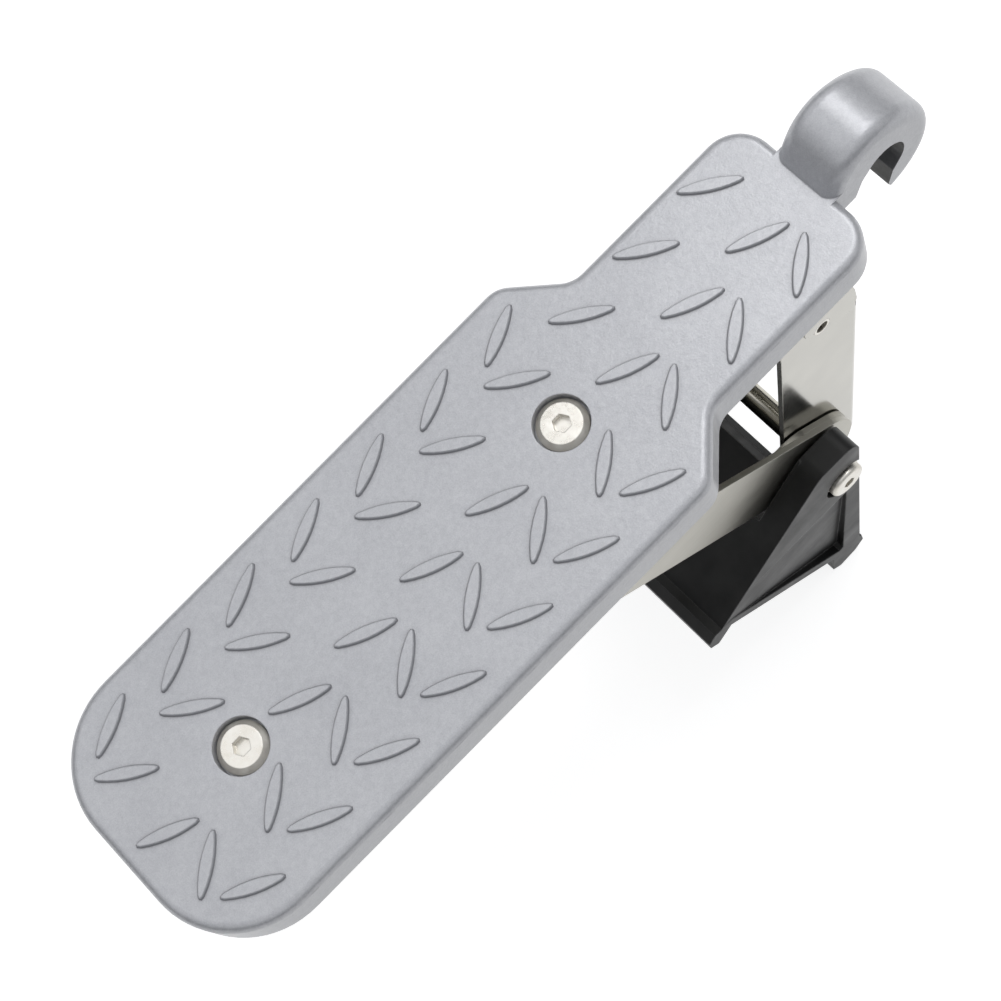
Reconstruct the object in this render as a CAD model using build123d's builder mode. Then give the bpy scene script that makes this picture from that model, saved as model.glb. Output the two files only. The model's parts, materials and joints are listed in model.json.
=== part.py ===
from build123d import *
import os
from math import asin, atan2, cos, degrees, hypot, pi, radians, sin

os.makedirs("parts", exist_ok=True)

# Tread plate outline and heights
tread_top = 8.0
tread_skin = 3.5
tread_wall = 3.5
tread_bottom = -6.0
tread_outer_end = -290.1
tread_hook_end = -18.1
wide_half = 44.3
narrow_half = 28.4
shoulder_outer_x = -101.3
shoulder_inner_x = -85.0
outer_corner_radius = 30.0
shoulder_radius = 9.0
hook_corner_radius = 12.0
tread_edge_radius = 3.0

# Ribs under the tread
rib_thickness = 3.0
rib_pitch = 28.0
cross_rib_bottom = -1.0
middle_rib_y = 14.0
outer_rib_y = 31.0
boss_radius = 11.0

# Raised ovals on the tread
oval_length = 19.6
oval_width = 4.4
oval_shoulder = 1.1
oval_tip_half = 0.45
oval_height = 1.2
oval_taper = 24.0
oval_pitch = 26.0
oval_row_start = -267.0
oval_end_gap = 9.0
oval_screw_gap = 8.0
oval_columns = [
    (32.2, 0.0, shoulder_outer_x, 25),
    (18.5, -5.6, tread_hook_end, -36),
    (-2.8, -8.1, tread_hook_end, -23),
    (-17.6, -5.9, tread_hook_end, 37),
    (-31.6, -0.6, shoulder_outer_x, -27),
]

# Tread screws
outer_bolt_x = -243.9
inner_bolt_x = -116.8
tread_screw_radius = 4.0
screw_clearance = 0.2
recess_radius = 8.6
recess_floor = 3.4
tread_head_radius = 7.9
tread_head_height = 4.2
tread_head_bevel = 1.7
tread_socket_across_flats = 5.0
socket_depth = 2.4
screw_end = -15.5

# Hook
hook_width = 23.0
seat_radius = 8.0
seat_start_angle = -46.0
seat_end_angle = 140.0
hook_edge_radius = 4.6

# Rail under the tread
sheet = 2.0
rail_top = -4.0
rail_half = 21.7
rail_outer_end = -272.0
rail_hook_end = -28.5
shallow_flange_bottom = -13.0
ear_radius = 13.0
bend_radius = 2.6

# Linkage pivots in the side view
hinge_x = -42.1
hinge_z = -24.1
pivot_x = -58.6
pivot_z = -107.8
arm_slope = 40.0
leg_run = hinge_x - pivot_x
leg_drop = hinge_z - pivot_z
leg_length = hypot(leg_run, leg_drop)
fold_angle = degrees(atan2(leg_drop, leg_run))
arm_length = leg_drop / sin(radians(arm_slope))
slide_x = pivot_x - arm_length * cos(radians(arm_slope))

# Leg channel
leg_side_gap = 0.3
leg_inner_y = rail_half + leg_side_gap
leg_outer_y = leg_inner_y + sheet
leg_half_width = 16.2
leg_lean = 8.3
leg_end = 99.0
leg_corner_radius = 5.0
leg_top_half = 14.4
leg_pad_height = 0.5
leg_web_start = 8.0
leg_web_end = 70.0

# Arm links and their doublers
leg_washer_thickness = 0.5
doubler_inner_y = leg_outer_y + leg_washer_thickness
arm_inner_y = doubler_inner_y + sheet
arm_outer_y = arm_inner_y + sheet
arm_above = 18.5
arm_below = 13.5
arm_end_inset = 4.5
doubler_length = 17.0

# Foot
arm_washer_thickness = 1.0
cheek_inner_y = arm_outer_y + arm_washer_thickness
cheek_thickness = 9.5
cheek_outer_y = cheek_inner_y + cheek_thickness
foot_skin = 4.0
pad_wall = 5.0
panel_slope = 0.05
foot_slot_inner_y = leg_inner_y - 0.6
foot_slot_length = 27.0
foot_notch_length = 10.0
head_recess_radius = 8.2
head_recess_depth = 2.5

# Pivot hardware
running_fit = 0.05
pivot_screw_radius = 3.0
pivot_head_radius = 6.5
pivot_head_height = 3.4
pivot_socket_across_flats = 4.0
sleeve_radius = 4.0
washer_radius = 7.0
hinge_pin_radius = 3.0
hinge_pin_bore = 2.2
hinge_tube_radius = 4.5
roller_radius = 4.5
roller_length = 3.0
slot_clearance = 0.3
slide_head_radius = 5.0
slide_head_thickness = 1.5


def save(piece, name):
    piece.part.label = name
    export_step(piece.part, "parts/" + name + ".step")


def tread_outline():
    far_side = [
        (tread_outer_end, wide_half),
        (shoulder_outer_x, wide_half),
        (shoulder_inner_x, narrow_half),
        (tread_hook_end, narrow_half),
    ]
    near_side = [(x, -y) for (x, y) in reversed(far_side)]
    with BuildSketch(mode=Mode.PRIVATE) as outline:
        Polygon(*far_side, *near_side, align=None)
        fillet(outline.vertices().group_by(Axis.X)[0], outer_corner_radius)
        fillet(outline.vertices().group_by(Axis.X)[-1], hook_corner_radius)
        middle = outline.vertices().filter_by(
            lambda v: shoulder_outer_x - 0.1 < v.X < shoulder_inner_x + 0.1
        )
        fillet(middle, shoulder_radius)
    return outline.sketch


def tread_oval():
    tip = oval_length / 2
    shoulder = tip - oval_shoulder
    crown = oval_width / 2
    with BuildSketch(mode=Mode.PRIVATE) as shape:
        with BuildLine():
            ThreePointArc((-shoulder, -oval_shoulder), (0, -crown), (shoulder, -oval_shoulder))
            Polyline(
                (shoulder, -oval_shoulder),
                (tip, -oval_tip_half),
                (tip, oval_tip_half),
                (shoulder, oval_shoulder),
            )
            ThreePointArc((shoulder, oval_shoulder), (0, crown), (-shoulder, oval_shoulder))
            Polyline(
                (-shoulder, oval_shoulder),
                (-tip, oval_tip_half),
                (-tip, -oval_tip_half),
                (-shoulder, -oval_shoulder),
            )
        make_face()
    return shape.sketch


def oval_rows(side, start, column_end):
    rows = []
    x = oval_row_start + start
    while x < column_end - oval_end_gap:
        from_screws = [hypot(x - screw_x, side) for screw_x in (outer_bolt_x, inner_bolt_x)]
        if min(from_screws) > recess_radius + oval_screw_gap:
            rows.append(x)
        x += oval_pitch
    return rows


def side_plane(distance):
    return Plane.XZ.offset(distance)


def leg_point(along, across):
    lean = radians(leg_lean)
    x = hinge_x - along * sin(lean) + across * cos(lean)
    z = hinge_z - along * cos(lean) - across * sin(lean)
    return (x, z)


def arm_point(along, across):
    slope = radians(arm_slope)
    x = pivot_x - along * cos(slope) + across * sin(slope)
    z = pivot_z + along * sin(slope) + across * cos(slope)
    return (x, z)


def slide_path(steps):
    points = []
    for step in range(steps + 1):
        leg_angle = fold_angle * step / steps
        arm_angle = arm_slope * step / steps
        x = hinge_x - leg_length * cos(radians(leg_angle)) - arm_length * cos(radians(arm_angle))
        z = hinge_z - leg_length * sin(radians(leg_angle)) + arm_length * sin(radians(arm_angle))
        points.append((x, z))
    return points


def band(points, half_width):
    upper = []
    lower = []
    for index, (x, z) in enumerate(points):
        before = points[max(index - 1, 0)]
        after = points[min(index + 1, len(points) - 1)]
        run = after[0] - before[0]
        rise = after[1] - before[1]
        size = hypot(run, rise)
        upper.append((x - rise / size * half_width, z + run / size * half_width))
        lower.append((x + rise / size * half_width, z - run / size * half_width))
    return upper + lower[::-1]


def ring(radius, bore, low_y, high_y, x, z):
    with BuildSketch(side_plane(-low_y)) as section:
        with Locations((x, z)):
            Circle(radius)
            if bore > 0:
                Circle(bore, mode=Mode.SUBTRACT)
    extrude(section.sketch, amount=-(high_y - low_y))


# Hook in side view, opening downward
hook_outer = [
    (-20.6, 8.0),
    (-17.8, 13.0),
    (-13.4, 18.2),
    (-4.0, 21.9),
    (5.4, 19.8),
    (12.6, 14.6),
    (17.8, 7.0),
    (19.5, -1.5),
    (17.6, -9.0),
    (12.6, -15.4),
    (6.2, -19.2),
]
hook_tip = (1.6, -18.4)
hook_lip = (0.1, -14.4)
hook_throat = (2.6, -8.6)
hook_root_corner = (-11.9, -2.3)
hook_root_x = -22.0

with BuildPart() as hook:
    with BuildSketch(side_plane(-hook_width / 2)):
        with BuildLine():
            Spline(*hook_outer)
            Line(hook_outer[-1], hook_tip)
            Line(hook_tip, hook_lip)
            Line(hook_lip, hook_throat)
            seat = CenterArc((0, 0), seat_radius, seat_start_angle, seat_end_angle - seat_start_angle)
            Line(hook_throat, seat @ 0)
            Spline(seat @ 1, (-9.2, 2.3), (-10.7, -0.4), hook_root_corner)
            Line(hook_root_corner, (hook_root_x, hook_root_corner[1]))
            Line((hook_root_x, hook_root_corner[1]), (hook_root_x, hook_outer[0][1]))
            Line((hook_root_x, hook_outer[0][1]), hook_outer[0])
        make_face()
    extrude(amount=hook_width)
    long_edges = hook.edges().filter_by(lambda e: e.length > 60)
    fillet(long_edges, hook_edge_radius)

# Tread plate with its hook, one casting
with BuildPart() as tread_plate:
    with BuildSketch(Plane.XY.offset(tread_bottom)):
        add(tread_outline())
    extrude(amount=tread_top - tread_bottom)
    top_edges = tread_plate.faces().sort_by(Axis.Z)[-1].edges()
    fillet(top_edges, tread_edge_radius)
    with BuildSketch(Plane.XY.offset(tread_bottom)):
        add(tread_outline())
        offset(amount=-tread_wall, mode=Mode.REPLACE)
    extrude(amount=tread_top - tread_skin - tread_bottom, mode=Mode.SUBTRACT)
    # Cross ribs and long ribs inside the hollow
    with BuildSketch(Plane.XY.offset(cross_rib_bottom)) as cross_ribs:
        with Locations((-158.0, 0)):
            with GridLocations(rib_pitch, 0, 10, 1):
                Rectangle(rib_thickness, 2 * wide_half)
        with Locations((-158.0, outer_rib_y), (-158.0, -outer_rib_y)):
            Rectangle(264, rib_thickness)
        add(tread_outline(), mode=Mode.INTERSECT)
    extrude(amount=tread_top - tread_skin - cross_rib_bottom + 1)
    with BuildSketch(Plane.XY.offset(rail_top)):
        with Locations((-156.0, middle_rib_y), (-156.0, -middle_rib_y)):
            Rectangle(266, rib_thickness)
        with Locations((outer_bolt_x, 0), (inner_bolt_x, 0)):
            Circle(boss_radius)
    extrude(amount=tread_top - tread_skin - rail_top + 1)
    add(hook.part)
    # Counterbores and screw holes
    with Locations((outer_bolt_x, 0, tread_top), (inner_bolt_x, 0, tread_top)):
        CounterBoreHole(
            radius=tread_screw_radius + screw_clearance,
            counter_bore_radius=recess_radius,
            counter_bore_depth=tread_top - recess_floor,
            depth=tread_top - rail_top + 2,
        )
    # Raised ovals in five columns
    with BuildSketch(Plane.XY.offset(tread_top)):
        for side, start, column_end, angle in oval_columns:
            for x in oval_rows(side, start, column_end):
                spot = Location((x, side, 0), (0, 0, angle))
                add(tread_oval().moved(spot))
    extrude(amount=oval_height, taper=oval_taper)
save(tread_plate, "tread_plate")

# Rail, one folded channel with hinge ears and curved guide slots
guide_path = slide_path(16)
guide_slot_half = roller_radius + slot_clearance
guide_flange_half = guide_slot_half + 3.5
rail_length = rail_hook_end - rail_outer_end
with BuildPart() as rail:
    with BuildSketch(Plane.YZ.offset(rail_outer_end)) as channel:
        with Locations((0, rail_top)):
            Rectangle(2 * rail_half, 42, align=(Align.CENTER, Align.MAX))
        fillet(channel.vertices().group_by(Axis.Y)[-1], bend_radius)
        with Locations((0, rail_top - sheet)):
            Rectangle(2 * (rail_half - sheet), 42, align=(Align.CENTER, Align.MAX), mode=Mode.SUBTRACT)
    extrude(amount=rail_length)
    with BuildSketch(side_plane(-rail_half - 5)):
        with Locations((rail_hook_end, rail_top)):
            Rectangle(rail_length, rail_top - shallow_flange_bottom, align=(Align.MAX, Align.MAX))
        with Locations((hinge_x, hinge_z)):
            Circle(ear_radius)
            Rectangle(2 * ear_radius, rail_top - hinge_z, align=(Align.CENTER, Align.MIN))
        Polygon(*band(guide_path, guide_flange_half), align=None)
        with Locations(guide_path[0], guide_path[-1]):
            Circle(guide_flange_half)
        Polygon(
            (guide_path[0][0] - guide_flange_half, rail_top),
            *guide_path,
            (guide_path[-1][0] + guide_flange_half, rail_top),
            align=None,
        )
        with Locations((guide_path[-1][0] + guide_flange_half, rail_top)):
            Rectangle(12, rail_top - hinge_z, align=(Align.MAX, Align.MAX))
        with Locations((guide_path[0][0] - guide_flange_half, rail_top)):
            Rectangle(12, rail_top - hinge_z, align=(Align.MIN, Align.MAX))
    extrude(amount=2 * rail_half + 10, mode=Mode.INTERSECT)
    with BuildSketch(side_plane(-rail_half - 5)):
        Polygon(*band(guide_path, guide_slot_half), align=None)
        with Locations(guide_path[0], guide_path[-1]):
            Circle(guide_slot_half)
        with Locations((hinge_x, hinge_z)):
            Circle(hinge_pin_radius)
    extrude(amount=2 * rail_half + 10, mode=Mode.SUBTRACT)
    with Locations((outer_bolt_x, 0, rail_top), (inner_bolt_x, 0, rail_top)):
        Hole(radius=tread_screw_radius + screw_clearance, depth=sheet + 1)
save(rail, "rail")


# Socket button screws through the tread, with washers and nuts under the rail
def tread_screw(x, name):
    with BuildPart() as screw:
        with BuildSketch(Plane.XY.offset(recess_floor)):
            with Locations((x, 0)):
                Circle(tread_head_radius)
        extrude(amount=tread_head_height)
        head_top = screw.faces().sort_by(Axis.Z)[-1]
        chamfer(head_top.edges(), tread_head_bevel)
        with BuildSketch(Plane.XY.offset(recess_floor)):
            with Locations((x, 0)):
                Circle(tread_screw_radius)
        extrude(amount=screw_end - recess_floor)
        chamfer(screw.faces().sort_by(Axis.Z)[0].edges(), 0.8)
        with BuildSketch(Plane.XY.offset(recess_floor + tread_head_height)):
            with Locations((x, 0)):
                RegularPolygon(tread_socket_across_flats / 2, 6, major_radius=False)
        extrude(amount=-socket_depth, mode=Mode.SUBTRACT)
    save(screw, name)


def rail_washer(x, name):
    with BuildPart() as washer:
        with BuildSketch(Plane.XY.offset(rail_top - sheet)):
            with Locations((x, 0)):
                Circle(8.0)
                Circle(tread_screw_radius + screw_clearance, mode=Mode.SUBTRACT)
        extrude(amount=-1.4)
    save(washer, name)


def rail_nut(x, name):
    with BuildPart() as nut:
        with BuildSketch(Plane.XY.offset(rail_top - sheet - 1.4)):
            with Locations((x, 0)):
                RegularPolygon(6.5, 6, major_radius=False)
        extrude(amount=-5.0)
        with BuildSketch(Plane.XY.offset(rail_top - sheet - 6.4)):
            with Locations((x, 0)):
                Circle(5.9)
        extrude(amount=-1.6)
        with Locations((x, 0, rail_top - sheet)):
            Hole(radius=tread_screw_radius, depth=12)
    save(nut, name)


tread_screw(outer_bolt_x, "tread_bolt_outer")
tread_screw(inner_bolt_x, "tread_bolt_inner")
rail_washer(outer_bolt_x, "rail_washer_outer")
rail_washer(inner_bolt_x, "rail_washer_inner")
rail_nut(outer_bolt_x, "rail_nut_outer")
rail_nut(inner_bolt_x, "rail_nut_inner")

# Hollow hinge pin and the spacer tube between the rail's ears
with BuildPart() as hinge_pin:
    pin_end = leg_outer_y + leg_pad_height
    ring(hinge_pin_radius, hinge_pin_bore, -pin_end, pin_end, hinge_x, hinge_z)
save(hinge_pin, "hinge_pin")

with BuildPart() as hinge_tube:
    tube_y = rail_half - sheet
    ring(hinge_tube_radius, hinge_pin_radius + running_fit, -tube_y, tube_y, hinge_x, hinge_z)
save(hinge_tube, "hinge_tube")

# Leg, one folded channel with its web on the hook side
lean_angle = radians(leg_lean)
leg_down = Vector(-sin(lean_angle), 0, -cos(lean_angle))
leg_right = Vector(cos(lean_angle), 0, -sin(lean_angle))
leg_start = Vector(hinge_x, 0, hinge_z) - leg_down * leg_half_width
with BuildPart() as leg:
    with BuildSketch(Plane(origin=leg_start, x_dir=leg_right, z_dir=leg_down)) as channel:
        Rectangle(2 * leg_half_width, 2 * leg_outer_y)
        fillet(channel.vertices().group_by(Axis.X)[-1], bend_radius)
        with Locations((-sheet, 0)):
            Rectangle(2 * leg_half_width, 2 * leg_inner_y, mode=Mode.SUBTRACT)
    extrude(amount=leg_end + leg_half_width)
    with BuildSketch(side_plane(-leg_outer_y - 5)) as leg_side:
        Polygon(
            leg_point(leg_web_start, -leg_half_width),
            leg_point(leg_web_start, leg_half_width),
            leg_point(leg_end, leg_half_width),
            leg_point(leg_end, -leg_half_width),
            align=None,
        )
        fillet(leg_side.vertices().group_by(Axis.Y)[0:2], leg_corner_radius)
        top_offset = (leg_top_half - leg_half_width) / 2
        with Locations(leg_point(0, top_offset)):
            Circle((leg_top_half + leg_half_width) / 2)
        Polygon(
            leg_point(0, -leg_half_width),
            leg_point(0, leg_top_half),
            leg_point(leg_web_start + 1, leg_top_half),
            leg_point(leg_web_start + 1, -leg_half_width),
            align=None,
        )
        with Locations((hinge_x, hinge_z), (pivot_x, pivot_z)):
            Circle(hinge_pin_radius + running_fit, mode=Mode.SUBTRACT)
    extrude(amount=2 * leg_outer_y + 10, mode=Mode.INTERSECT)
    with BuildSketch(side_plane(-leg_inner_y)):
        Polygon(
            leg_point(-30, leg_half_width - 5),
            leg_point(-30, leg_half_width + 3),
            leg_point(leg_web_start, leg_half_width + 3),
            leg_point(leg_web_start, leg_half_width - 5),
            align=None,
        )
        Polygon(
            leg_point(leg_web_end, leg_half_width - 5),
            leg_point(leg_web_end, leg_half_width + 3),
            leg_point(leg_end + 10, leg_half_width + 3),
            leg_point(leg_end + 10, leg_half_width - 5),
            align=None,
        )
    extrude(amount=2 * leg_inner_y, mode=Mode.SUBTRACT)
    # Low pressed pads round the hinge holes
    for low_y in (-leg_outer_y - leg_pad_height, leg_outer_y):
        with BuildSketch(side_plane(-low_y)) as pad:
            Polygon(
                (hinge_x - 6.4, hinge_z + 3.0),
                (hinge_x - 5.6, hinge_z + 2.2),
                (hinge_x + 14.0, hinge_z - 10.8),
                (hinge_x + 14.0, hinge_z + 9.0),
                (hinge_x - 6.4, hinge_z + 9.0),
                align=None,
            )
            with Locations((hinge_x, hinge_z)):
                Circle(leg_top_half, mode=Mode.INTERSECT)
            with Locations((hinge_x, hinge_z)):
                Circle(hinge_pin_radius + running_fit, mode=Mode.SUBTRACT)
        extrude(pad.sketch, amount=-leg_pad_height)
save(leg, "leg")

with BuildPart() as pivot_sleeve:
    bore = pivot_screw_radius + running_fit
    ring(sleeve_radius, bore, -leg_inner_y, leg_inner_y, pivot_x, pivot_z)
save(pivot_sleeve, "pivot_sleeve")

with BuildPart() as leg_washers:
    ring(washer_radius, bore, -doubler_inner_y, -leg_outer_y, pivot_x, pivot_z)
    ring(washer_radius, bore, leg_outer_y, doubler_inner_y, pivot_x, pivot_z)
save(leg_washers, "leg_washers")


# Arm links, with doublers at the pivot end
def arm_outline(length, slide_hole):
    middle = (arm_above - arm_below) / 2
    half = (arm_above + arm_below) / 2
    with BuildSketch(mode=Mode.PRIVATE) as outline:
        Polygon(
            arm_point(arm_end_inset, middle - half),
            arm_point(arm_end_inset, middle + half),
            arm_point(length, middle + half),
            arm_point(length, middle - half),
            align=None,
        )
        with Locations(arm_point(arm_end_inset, middle), arm_point(length, middle)):
            Circle(half)
        if slide_hole:
            with Locations(arm_point(arm_length, 0)):
                Circle(hinge_pin_radius, mode=Mode.SUBTRACT)
        with Locations((pivot_x, pivot_z)):
            Circle(pivot_screw_radius + running_fit, mode=Mode.SUBTRACT)
    return outline.sketch


def arm_sheet(low_y, length, slide_hole, name):
    with BuildPart() as link:
        with BuildSketch(side_plane(-low_y)):
            add(arm_outline(length, slide_hole))
        extrude(amount=-sheet)
    save(link, name)


arm_sheet(-arm_outer_y, arm_length, True, "arm_near")
arm_sheet(arm_inner_y, arm_length, True, "arm_far")
arm_sheet(-arm_inner_y, doubler_length, False, "arm_doubler_near")
arm_sheet(doubler_inner_y, doubler_length, False, "arm_doubler_far")

with BuildPart() as arm_washers:
    ring(washer_radius, bore, -cheek_inner_y, -arm_outer_y, pivot_x, pivot_z)
    ring(washer_radius, bore, arm_outer_y, cheek_inner_y, pivot_x, pivot_z)
save(arm_washers, "arm_washers")

# Slide pin, rollers and spacers at the outer end of the arm
roller_in = rail_half - sheet / 2 - roller_length / 2
roller_out = rail_half - sheet / 2 + roller_length / 2
with BuildPart() as slide_pin:
    ring(hinge_pin_radius, 0, -arm_outer_y, arm_outer_y, slide_x, hinge_z)
    ring(slide_head_radius, 0, -arm_outer_y - slide_head_thickness, -arm_outer_y, slide_x, hinge_z)
    ring(slide_head_radius, 0, arm_outer_y, arm_outer_y + slide_head_thickness, slide_x, hinge_z)
save(slide_pin, "slide_pin")

with BuildPart() as slide_tube:
    ring(sleeve_radius, bore, -roller_in, roller_in, slide_x, hinge_z)
save(slide_tube, "slide_tube")

with BuildPart() as slide_rollers:
    ring(roller_radius, bore, -roller_out, -roller_in, slide_x, hinge_z)
    ring(roller_radius, bore, roller_in, roller_out, slide_x, hinge_z)
save(slide_rollers, "slide_rollers")

with BuildPart() as slide_spacers:
    ring(sleeve_radius, bore, -arm_inner_y, -roller_out, slide_x, hinge_z)
    ring(sleeve_radius, bore, roller_out, arm_inner_y, slide_x, hinge_z)
save(slide_spacers, "slide_spacers")

# Foot in side view, measured from the bottom pivot
foot_crest = (-8.5, 21.0)
foot_shoulder = (9.0, 21.0)
foot_heel = (-2.7, -75.0)
foot_toe = (-59.3, -25.8)
foot_toe_top = (-61.1, -23.0)


def foot_point(x, z):
    return (pivot_x + x, pivot_z + z)


def foot_outline():
    with BuildSketch(mode=Mode.PRIVATE) as outline:
        corners = (foot_crest, foot_shoulder, foot_heel, foot_toe, foot_toe_top)
        Polygon(*[foot_point(x, z) for (x, z) in corners], align=None)
        crest_vertices = outline.vertices().group_by(Axis.Y)[-1]
        fillet(crest_vertices, 6.0)
    return outline.sketch


# Pad wall direction from toe to heel, and its ridges' lands
pad_run = foot_heel[0] - foot_toe[0]
pad_rise = foot_heel[1] - foot_toe[1]
pad_length = hypot(pad_run, pad_rise)
ridge_height = 8.8


def pad_point(along, outward):
    x = foot_toe[0] + (along * pad_run + outward * pad_rise) / pad_length
    z = foot_toe[1] + (along * pad_rise - outward * pad_run) / pad_length
    return foot_point(x, z)


skin_run = foot_toe_top[0] - foot_crest[0]
skin_rise = foot_toe_top[1] - foot_crest[1]
skin_length = hypot(skin_run, skin_rise)
skin_along = (skin_run / skin_length, skin_rise / skin_length)
skin_inward = (-skin_along[1], skin_along[0])


def skin_point(along, inward):
    x = foot_crest[0] + along * skin_along[0] + inward * skin_inward[0]
    z = foot_crest[1] + along * skin_along[1] + inward * skin_inward[1]
    return foot_point(x, z)


def panel_local(x, z):
    run = x - foot_crest[0]
    rise = z - foot_crest[1]
    along = run * skin_along[0] + rise * skin_along[1]
    inward = run * skin_inward[0] + rise * skin_inward[1]
    return (along, inward)


panel_origin = Vector(skin_point(0, 0)[0], -cheek_outer_y, skin_point(0, 0)[1])
panel_x = Vector(skin_along[0], 0, skin_along[1])
panel_y = Vector(skin_inward[0], panel_slope, skin_inward[1])
with BuildPart() as cheek_panel:
    with BuildSketch(Plane(origin=panel_origin, x_dir=panel_x, z_dir=panel_x.cross(panel_y))):
        Polygon(
            panel_local(-1.0, -12.5),
            panel_local(-9.2, -62.0),
            panel_local(-11.0, -62.6),
            panel_local(-56.5, -23.0),
            panel_local(-62.0, -22.0),
            panel_local(-48.0, -12.5),
            align=None,
        )
    extrude(amount=8)

with BuildPart() as foot:
    # Two cheeks
    with BuildSketch(side_plane(-cheek_outer_y)):
        add(foot_outline())
    extrude(amount=cheek_outer_y - cheek_inner_y)
    with BuildSketch(side_plane(cheek_inner_y)):
        add(foot_outline())
    extrude(amount=cheek_outer_y - cheek_inner_y)
    # Sloping skin and pad wall between the cheeks
    with BuildSketch(side_plane(-cheek_inner_y - 1)):
        Polygon(
            skin_point(0, 0),
            skin_point(skin_length, 0),
            foot_point(*foot_toe),
            foot_point(*foot_heel),
            pad_point(pad_length - 4.2, -pad_wall),
            pad_point(5.6, -pad_wall),
            skin_point(0, foot_skin),
            align=None,
        )
    extrude(amount=2 * cheek_inner_y + 2)
    # Pad ridges across the whole width
    with BuildSketch(side_plane(-cheek_outer_y)):
        Polygon(
            pad_point(59.0, -1.0),
            pad_point(65.4, ridge_height),
            pad_point(69.8, ridge_height),
            pad_point(74.6, 3.2),
            pad_point(75.6, -2.0),
            pad_point(72.0, -6.0),
            align=None,
        )
        Polygon(
            pad_point(2.6, -1.0),
            pad_point(0.8, ridge_height),
            pad_point(-3.4, ridge_height),
            pad_point(-6.0, ridge_height - 3.2),
            pad_point(-5.6, 1.0),
            foot_point(*foot_toe_top),
            align=None,
        )
    extrude(amount=2 * cheek_outer_y)
    # Opening in the skin, deeper where the arm and leg plates pass through
    for slot_low_y, slot_high_y, slot_length in (
        (foot_slot_inner_y, cheek_inner_y, foot_slot_length),
        (-cheek_inner_y, -foot_slot_inner_y, foot_slot_length),
        (-foot_slot_inner_y - 1, foot_slot_inner_y + 1, foot_notch_length),
    ):
        with BuildSketch(side_plane(-slot_low_y)):
            Polygon(
                skin_point(-12, -12),
                skin_point(slot_length, -12),
                skin_point(slot_length, foot_skin + 4),
                skin_point(-12, foot_skin + 4),
                align=None,
            )
        extrude(amount=-(slot_high_y - slot_low_y), mode=Mode.SUBTRACT)
    # Panels in the outer faces of the cheeks, deepening away from the skin
    add(cheek_panel.part, mode=Mode.SUBTRACT)
    add(mirror(cheek_panel.part, about=Plane.XZ, mode=Mode.PRIVATE), mode=Mode.SUBTRACT)
    # Pivot hole and the recesses for screw head and nut
    with BuildSketch(side_plane(-cheek_outer_y)):
        with Locations((pivot_x, pivot_z)):
            Circle(pivot_screw_radius)
    extrude(amount=2 * cheek_outer_y, mode=Mode.SUBTRACT)
    for recess_y in (-cheek_outer_y, cheek_outer_y - head_recess_depth):
        with BuildSketch(side_plane(-recess_y)):
            with Locations((pivot_x, pivot_z)):
                Circle(head_recess_radius)
        extrude(amount=-head_recess_depth, mode=Mode.SUBTRACT)
save(foot, "foot")

# Pivot screw through foot, arm and leg
head_seat_y = cheek_outer_y - head_recess_depth + 1.0
nut_end_y = head_seat_y + 6.0
with BuildPart() as foot_bolt:
    with BuildSketch(side_plane(head_seat_y)):
        with Locations((pivot_x, pivot_z)):
            Circle(pivot_head_radius)
    extrude(amount=pivot_head_height)
    fillet(foot_bolt.faces().sort_by(Axis.Y)[0].edges(), 1.4)
    with BuildSketch(side_plane(head_seat_y)):
        with Locations((pivot_x, pivot_z)):
            Circle(pivot_screw_radius)
    extrude(amount=-(head_seat_y + nut_end_y + 1.0))
    with BuildSketch(side_plane(head_seat_y + pivot_head_height)):
        with Locations((pivot_x, pivot_z)):
            RegularPolygon(pivot_socket_across_flats / 2, 6, major_radius=False)
    extrude(amount=-2.0, mode=Mode.SUBTRACT)
save(foot_bolt, "foot_bolt")

with BuildPart() as foot_washers:
    ring(washer_radius, pivot_screw_radius, -head_seat_y, -head_seat_y + 1.0, pivot_x, pivot_z)
    ring(washer_radius, pivot_screw_radius, head_seat_y - 1.0, head_seat_y, pivot_x, pivot_z)
save(foot_washers, "foot_washers")

with BuildPart() as foot_nut:
    with BuildSketch(side_plane(-head_seat_y)):
        with Locations((pivot_x, pivot_z)):
            RegularPolygon(5.0, 6, major_radius=False)
            Circle(pivot_screw_radius, mode=Mode.SUBTRACT)
    extrude(amount=-4.4)
    ring(4.4, pivot_screw_radius, head_seat_y + 4.4, nut_end_y, pivot_x, pivot_z)
save(foot_nut, "foot_nut")
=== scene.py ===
import bpy
import json
from mathutils import Matrix, Vector


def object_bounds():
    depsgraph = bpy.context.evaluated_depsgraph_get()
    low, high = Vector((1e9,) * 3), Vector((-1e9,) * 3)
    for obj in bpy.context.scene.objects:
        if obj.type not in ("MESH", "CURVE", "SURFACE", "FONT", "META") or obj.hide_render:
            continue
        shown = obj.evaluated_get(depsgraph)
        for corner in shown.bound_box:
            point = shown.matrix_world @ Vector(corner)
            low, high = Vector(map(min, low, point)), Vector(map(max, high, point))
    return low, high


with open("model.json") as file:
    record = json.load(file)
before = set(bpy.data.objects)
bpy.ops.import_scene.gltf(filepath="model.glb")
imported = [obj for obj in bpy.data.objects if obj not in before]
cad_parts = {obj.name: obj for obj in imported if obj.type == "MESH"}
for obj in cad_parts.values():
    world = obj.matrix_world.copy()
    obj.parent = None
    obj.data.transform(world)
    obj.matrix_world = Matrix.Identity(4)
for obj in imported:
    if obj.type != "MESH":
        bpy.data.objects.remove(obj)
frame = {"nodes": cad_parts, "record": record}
nodes = frame["nodes"]
cad_low, cad_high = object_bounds()

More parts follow.
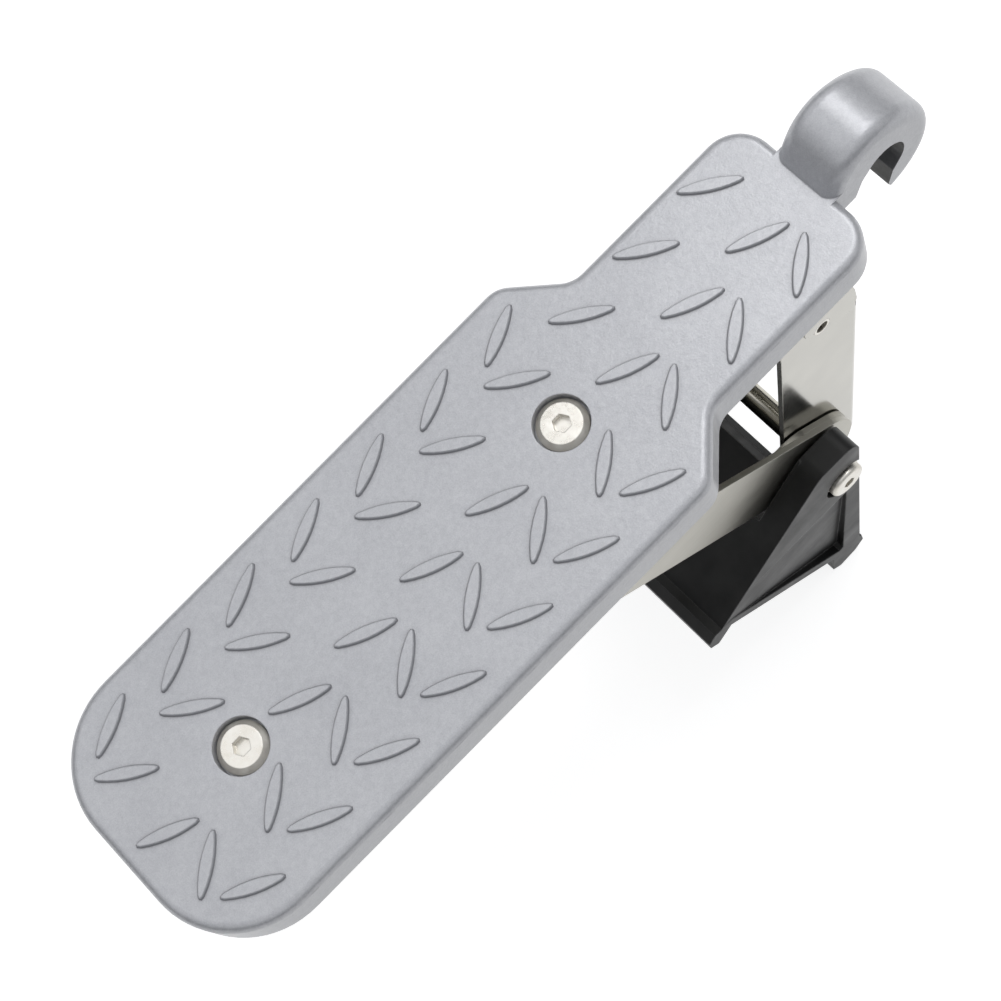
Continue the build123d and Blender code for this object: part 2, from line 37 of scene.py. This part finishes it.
# Places on the object that the materials refer to, in metres: centres of the tread's
# screws, and the span over which a mask fades at the edge that it is named after
tread_screws_x = (-0.2439, -0.1168)
recess_edge = (0.00865, 0.0088)
oval_foot_z = (0.00803, 0.00812)
oval_line_top_z = (0.0085, 0.0089)
tread_end_x = (-0.0225, -0.0215)
hook_slot_edge = (0.0175, 0.0185)
hook_slot_start_x = (-0.0122, -0.0112)

floor_reach = 4.0
floor_gap = 0.0005

# Camera at the photograph's angle
camera_right = Vector((0.7035, -0.6734, -0.2274)).normalized()
camera_down = Vector((-0.7101, -0.6523, -0.2652)).normalized()
camera_forward = camera_right.cross(camera_down).normalized()
camera_down = camera_forward.cross(camera_right)
camera_spot = Vector((-0.1646, -0.2366, 0.6357))
camera_lens = 86.19
lamp_target = Vector((-0.12, 0.0, -0.05))


# Small helpers for node materials
class Shader:
    def __init__(self, name):
        self.material = bpy.data.materials.new(name)
        self.material.use_nodes = True
        self.tree = self.material.node_tree
        self.tree.nodes.clear()
        output = self.node("ShaderNodeOutputMaterial")
        self.surface = self.node("ShaderNodeBsdfPrincipled")
        self.link(self.surface.outputs[0], output.inputs["Surface"])
        self.place = self.node("ShaderNodeTexCoord").outputs["Object"]

    def node(self, kind):
        return self.tree.nodes.new(kind)

    def link(self, start, end):
        self.tree.links.new(start, end)

    def apart(self, vector):
        split = self.node("ShaderNodeSeparateXYZ")
        self.link(vector, split.inputs[0])
        return split.outputs

    def facing(self):
        return self.apart(self.node("ShaderNodeTexCoord").outputs["Normal"])

    def stretch(self, x, y, z):
        mapping = self.node("ShaderNodeMapping")
        mapping.inputs["Scale"].default_value = (x, y, z)
        self.link(self.place, mapping.inputs["Vector"])
        return mapping.outputs["Vector"]

    def noise(self, scale, detail=2.0, rough=0.5, place=None):
        texture = self.node("ShaderNodeTexNoise")
        texture.inputs["Scale"].default_value = scale
        texture.inputs["Detail"].default_value = detail
        texture.inputs["Roughness"].default_value = rough
        self.link(place or self.place, texture.inputs["Vector"])
        return texture.outputs["Fac"]

    def warp(self, amount, scale):
        swirl = self.node("ShaderNodeTexNoise")
        swirl.inputs["Scale"].default_value = scale
        self.link(self.place, swirl.inputs["Vector"])
        shift = self.node("ShaderNodeVectorMath")
        shift.operation = "MULTIPLY_ADD"
        shift.inputs[1].default_value = (amount, amount, amount)
        self.link(swirl.outputs["Color"], shift.inputs[0])
        self.link(self.place, shift.inputs[2])
        return shift.outputs[0]

    def ramp(self, value, low, high, start=0.3, end=0.7):
        ramp = self.node("ShaderNodeMapRange")
        ramp.inputs["From Min"].default_value = start
        ramp.inputs["From Max"].default_value = end
        ramp.inputs["To Min"].default_value = low
        ramp.inputs["To Max"].default_value = high
        self.link(value, ramp.inputs["Value"])
        return ramp.outputs["Result"]

    def rise(self, value, span):
        return self.ramp(value, 0.0, 1.0, *span)

    def fall(self, value, span):
        return self.ramp(value, 1.0, 0.0, *span)

    def colours(self, value, stops):
        ramp = self.node("ShaderNodeValToRGB")
        while len(ramp.color_ramp.elements) < len(stops):
            ramp.color_ramp.elements.new(0.5)
        for element, (position, colour) in zip(ramp.color_ramp.elements, stops):
            element.position = position
            element.color = (*colour, 1.0)
        self.link(value, ramp.inputs["Fac"])
        return ramp.outputs["Color"]

    def math(self, kind, first, second=None):
        step = self.node("ShaderNodeMath")
        step.operation = kind
        for socket, value in zip(step.inputs, (first, second)):
            if isinstance(value, bpy.types.NodeSocket):
                self.link(value, socket)
            elif value is not None:
                socket.default_value = value
        return step.outputs[0]

    def times(self, first, second):
        return self.math("MULTIPLY", first, second)

    def plus(self, first, second):
        return self.math("ADD", first, second)

    def distance(self, first, second):
        return self.math("SQRT", self.plus(self.times(first, first), self.times(second, second)))

    def dim(self, colour, share, dark):
        mix = self.node("ShaderNodeMix")
        mix.data_type = "RGBA"
        mix.inputs[7].default_value = (*dark, 1.0)
        self.link(share, mix.inputs[0])
        self.link(colour, mix.inputs[6])
        return mix.outputs[2]

    def bump(self, height, distance, strength, below=None):
        bump = self.node("ShaderNodeBump")
        bump.inputs["Distance"].default_value = distance
        bump.inputs["Strength"].default_value = strength
        self.link(height, bump.inputs["Height"])
        if below is not None:
            self.link(below, bump.inputs["Normal"])
        return bump.outputs["Normal"]

    def soft_edges(self, radius):
        bevel = self.node("ShaderNodeBevel")
        bevel.samples = 4
        bevel.inputs["Radius"].default_value = radius
        return bevel.outputs["Normal"]

    # Mask of edges for a painted highlight: where the rounded normal turns away from the flat one
    def edge_highlight_mask(self, rounded, start, end):
        turn = self.node("ShaderNodeVectorMath")
        turn.operation = "DOT_PRODUCT"
        self.link(rounded, turn.inputs[0])
        self.link(self.node("ShaderNodeNewGeometry").outputs["True Normal"], turn.inputs[1])
        return self.fall(turn.outputs["Value"], (start, end))

    # Share of painted shade in corners and creases, read from an ambient occlusion node
    def corners(self, distance, share):
        near = self.node("ShaderNodeAmbientOcclusion")
        near.samples = 6
        near.inputs["Distance"].default_value = distance
        return self.ramp(near.outputs["AO"], share, 0.0, 0.45, 0.92)

    def set(self, socket, value):
        target = self.surface.inputs[socket]
        if isinstance(value, bpy.types.NodeSocket):
            self.link(value, target)
        else:
            target.default_value = value


def oval_foot_shade(s, x, z):
    """Painted shade: darker lines at the foot of the tread's raised ovals."""
    band = s.times(s.rise(z, oval_foot_z), s.fall(z, oval_line_top_z))
    return s.times(s.times(band, s.fall(x, tread_end_x)), 0.62)


def tread_corner_shade(s, x, y):
    """Painted shade in the corners of the casting, but not in the screw recesses."""
    corner_shade = s.corners(0.0016, 0.50)
    for centre in tread_screws_x:
        run = s.math("SUBTRACT", x, centre)
        corner_shade = s.times(corner_shade, s.rise(s.distance(run, y), recess_edge))
    return corner_shade


def hook_slot_shade(s, x, z):
    """Painted shade on the hook's inside, on the faces that look at its axis."""
    normal = s.facing()
    reach = s.distance(x, z)
    outward = s.plus(s.times(x, normal[0]), s.times(z, normal[2]))
    inward = s.fall(s.math("DIVIDE", outward, reach), (-0.45, -0.15))
    slot = s.times(inward, s.fall(reach, hook_slot_edge))
    return s.times(s.times(slot, s.rise(x, hook_slot_start_x)), 0.80)


def powder_coat():
    s = Shader("powder_coat")
    x, y, z = s.apart(s.place)
    speck = s.noise(2400.0, 2.0, 0.6)
    worm = s.noise(620.0, 2.0, 0.5, s.warp(0.0016, 300.0))
    cloud = s.noise(38.0, 3.0, 0.6)
    mixed = s.plus(s.ramp(speck, -0.15, 0.15), s.ramp(worm, -0.09, 0.09))
    mixed = s.plus(mixed, s.ramp(cloud, 0.43, 0.57))
    colour = s.colours(
        mixed,
        [(0.2, (0.46, 0.465, 0.49)), (0.5, (0.55, 0.555, 0.58)), (0.8, (0.64, 0.645, 0.665))],
    )
    soft = s.soft_edges(0.0005)
    # Painted highlight: edges lightened towards a pale grey
    edge_highlight = s.times(s.edge_highlight_mask(soft, 0.80, 0.97), 0.45)
    colour = s.dim(colour, edge_highlight, (0.82, 0.82, 0.84))
    # Painted shade along the feet of the ovals
    colour = s.dim(colour, oval_foot_shade(s, x, z), (0.16, 0.16, 0.175))
    # Painted shade in the casting's corners
    colour = s.dim(colour, tread_corner_shade(s, x, y), (0.18, 0.18, 0.195))
    # Painted shade inside the hook's slot
    colour = s.dim(colour, hook_slot_shade(s, x, z), (0.05, 0.05, 0.05))
    s.set("Base Color", colour)
    s.set("Metallic", 0.28)
    s.set("Roughness", s.ramp(speck, 0.30, 0.44))
    grain = s.bump(s.noise(1400.0, 2.0, 0.6), 0.00007, 0.6, soft)
    orange_peel = s.bump(s.noise(170.0, 3.0, 0.55), 0.00025, 0.25, grain)
    s.set("Normal", s.bump(worm, 0.00014, 0.40, orange_peel))
    s.set("Coat Weight", 0.25)
    s.set("Coat Roughness", 0.15)
    return s.material


def sheet_steel(name, light, dark, rough, along, ridges):
    s = Shader(name)
    grain = s.noise(1.0, 4.0, 0.6, s.stretch(*along))
    blotch = s.noise(22.0, 3.0, 0.6)
    s.set("Base Color", s.colours(blotch, [(0.3, dark), (0.7, light)]))
    s.set("Metallic", 1.0)
    s.set("Roughness", s.ramp(grain, rough - 0.03, rough + 0.06))
    s.set("Anisotropic", 0.2)
    wave = s.bump(s.noise(9.0, 2.0), 0.0006, 0.25, s.soft_edges(0.0004))
    s.set("Normal", s.bump(grain, 0.000006, ridges, wave))
    return s.material


def nickel():
    s = Shader("nickel_screw")
    wear = s.noise(260.0, 4.0, 0.6)
    s.set("Base Color", s.colours(wear, [(0.3, (0.66, 0.63, 0.57)), (0.7, (0.78, 0.76, 0.71))]))
    s.set("Metallic", 1.0)
    # Turned flanks are rougher than the flat ends
    normal = s.facing()
    flat = s.math("MAXIMUM", s.math("ABSOLUTE", normal[1]), s.math("ABSOLUTE", normal[2]))
    s.set("Roughness", s.plus(s.ramp(wear, 0.22, 0.36), s.ramp(flat, 0.22, 0.0, 0.75, 0.98)))
    s.set("Normal", s.bump(s.noise(700.0, 3.0), 0.00002, 0.3, s.soft_edges(0.0004)))
    return s.material


def rubber():
    s = Shader("foot_rubber")
    dust = s.noise(60.0, 4.0, 0.65)
    streak = s.noise(1.0, 3.0, 0.6, s.stretch(30, 300, 120))
    soft = s.soft_edges(0.0007)
    colour = s.colours(dust, [(0.35, (0.009, 0.009, 0.009)), (0.8, (0.020, 0.020, 0.019))])
    # Painted highlight: edges lightened towards a mid grey
    edge_highlight = s.times(s.edge_highlight_mask(soft, 0.76, 0.97), 0.75)
    s.set("Base Color", s.dim(colour, edge_highlight, (0.15, 0.15, 0.147)))
    s.set("Roughness", s.plus(s.ramp(dust, 0.36, 0.50), s.ramp(streak, -0.04, 0.05)))
    s.set("Specular IOR Level", 0.38)
    s.set("Normal", s.bump(s.noise(1800.0, 2.0), 0.00003, 0.4, soft))
    return s.material


def nylon():
    s = Shader("white_nylon")
    tint = s.noise(90.0, 3.0)
    s.set("Base Color", s.colours(tint, [(0.3, (0.60, 0.60, 0.55)), (0.7, (0.70, 0.70, 0.66))]))
    s.set("Roughness", s.ramp(tint, 0.40, 0.52))
    return s.material


# Materials for the record's slots, with a sheet steel for each direction of grain
slot_finishes = {
    "cast": powder_coat(),
    "screw": nickel(),
    "rubber": rubber(),
    "nylon": nylon(),
    "steel": sheet_steel(
        "leg_steel", (0.50, 0.49, 0.45), (0.42, 0.41, 0.378), 0.13, (60, 60, 1500), 0.35
    ),
}
arm_steel = sheet_steel(
    "arm_steel", (0.495, 0.48, 0.435), (0.425, 0.415, 0.37), 0.36, (90, 90, 1200), 0.06
)
rail_steel = sheet_steel(
    "rail_steel", (0.58, 0.57, 0.53), (0.50, 0.49, 0.45), 0.22, (40, 1500, 1500), 0.4
)
tube_steel = sheet_steel(
    "tube_steel", (0.60, 0.58, 0.51), (0.48, 0.46, 0.40), 0.18, (1500, 60, 1500), 0.3
)
slots = {part["node"]: part["material_slot"] for part in frame["record"]["subparts"]}
for name, node in nodes.items():
    finish = slot_finishes[slots[name]]
    if name == "rail":
        finish = rail_steel
    if name.startswith("arm_") and slots[name] == "steel":
        finish = arm_steel
    if name.endswith(("_tube", "_sleeve", "_spacers")):
        finish = tube_steel
    node.data.materials.clear()
    node.data.materials.append(finish)


def shader_of(tree, kind, colour=None, strength=None):
    shader = tree.nodes.new(kind)
    if colour is not None:
        shader.inputs["Color"].default_value = (*colour, 1)
    if strength is not None:
        shader.inputs["Strength"].default_value = strength
    return shader.outputs[0]


def join(tree, kind, *inputs):
    step = tree.nodes.new(kind)
    for source, socket in zip(inputs, step.inputs):
        tree.links.new(source, socket)
    return step.outputs[0]


def either(tree, first, second):
    step = tree.nodes.new("ShaderNodeMath")
    step.operation = "MAXIMUM"
    tree.links.new(first, step.inputs[0])
    tree.links.new(second, step.inputs[1])
    return step.outputs[0]


# Plain pale floor under the foot: soft as light, near white to camera and gloss
def pale_floor():
    material = bpy.data.materials.new("pale_floor")
    material.use_nodes = True
    tree = material.node_tree
    tree.nodes.clear()
    path = tree.nodes.new("ShaderNodeLightPath").outputs
    plain = shader_of(tree, "ShaderNodeBsdfDiffuse", (0.30, 0.30, 0.30))
    seen = shader_of(tree, "ShaderNodeBsdfDiffuse", (0.46, 0.46, 0.46))
    glow = shader_of(tree, "ShaderNodeEmission", strength=0.82)
    near_white = join(tree, "ShaderNodeAddShader", seen, glow)
    watched = either(tree, path["Is Camera Ray"], path["Is Glossy Ray"])
    watched = either(tree, watched, path["Is Transmission Ray"])
    output = tree.nodes.new("ShaderNodeOutputMaterial")
    shown = join(tree, "ShaderNodeMixShader", watched, plain, near_white)
    tree.links.new(shown, output.inputs["Surface"])
    return material


floor_height = cad_low.z - floor_gap
floor_mesh = bpy.data.meshes.new("floor")
floor_corners = [(-1, -1), (1, -1), (1, 1), (-1, 1)]
floor_mesh.from_pydata(
    [(x * floor_reach, y * floor_reach, floor_height) for x, y in floor_corners], [], [(0, 1, 2, 3)]
)
floor_mesh.materials.append(pale_floor())
floor = bpy.data.objects.new("floor", floor_mesh)
bpy.context.scene.collection.objects.link(floor)


# World: white to the camera, soft grey as light, pale over a dark horizon in gloss
def studio_world():
    world = bpy.data.worlds.new("studio")
    world.use_nodes = True
    tree = world.node_tree
    tree.nodes.clear()
    path = tree.nodes.new("ShaderNodeLightPath").outputs
    air = shader_of(tree, "ShaderNodeBackground", (0.95, 0.97, 1.0), 0.40)
    backdrop = shader_of(tree, "ShaderNodeBackground", (1, 1, 1), 1.0)
    height = tree.nodes.new("ShaderNodeSeparateXYZ")
    tree.links.new(tree.nodes.new("ShaderNodeTexCoord").outputs["Generated"], height.inputs[0])
    sky = tree.nodes.new("ShaderNodeValToRGB")
    horizon, overhead = sky.color_ramp.elements
    horizon.position = 0.26
    horizon.color = (0.04, 0.04, 0.044, 1)
    overhead.position = 0.70
    overhead.color = (0.86, 0.87, 0.89, 1)
    tree.links.new(height.outputs[2], sky.inputs["Fac"])
    mirrored = join(tree, "ShaderNodeBackground", sky.outputs["Color"])
    gloss = either(tree, path["Is Glossy Ray"], path["Is Transmission Ray"])
    unseen = join(tree, "ShaderNodeMixShader", gloss, air, mirrored)
    shown = join(tree, "ShaderNodeMixShader", path["Is Camera Ray"], unseen, backdrop)
    output = tree.nodes.new("ShaderNodeOutputWorld")
    tree.links.new(shown, output.inputs["Surface"])
    return world


bpy.context.scene.world = studio_world()

camera_data = bpy.data.cameras.new("camera")
camera_data.sensor_width = 36.0
camera_data.lens = camera_lens
camera_data.clip_start = 0.02
camera_data.clip_end = 30.0
camera = bpy.data.objects.new("camera", camera_data)
bpy.context.scene.collection.objects.link(camera)
turn = Matrix((camera_right, -camera_down, -camera_forward)).transposed()
camera.matrix_world = Matrix.Translation(camera_spot) @ turn.to_4x4()
bpy.context.scene.camera = camera


# Soft studio lamps, placed in the camera's own right, up and back directions
def lamp(name, right, up, back, size, power):
    data = bpy.data.lights.new(name, "AREA")
    data.shape = "SQUARE"
    data.size = size
    data.energy = power
    light = bpy.data.objects.new(name, data)
    bpy.context.scene.collection.objects.link(light)
    away = camera_right * right - camera_down * up - camera_forward * back
    facing = away.to_track_quat("Z", "Y").to_matrix().to_4x4()
    light.matrix_world = Matrix.Translation(lamp_target + away) @ facing


lamp("key", 0.06, 0.98, 1.10, 0.84, 6.7)
lamp("spark", 0.0, 1.25, 1.0, 0.14, 0.22)
lamp("fill", 1.30, 0.25, 0.90, 0.35, 0.55)
lamp("rim", -1.0, 0.4, 1.2, 0.9, 1.0)

bpy.context.scene.view_settings.view_transform = "Standard"
bpy.context.view_layer.update()
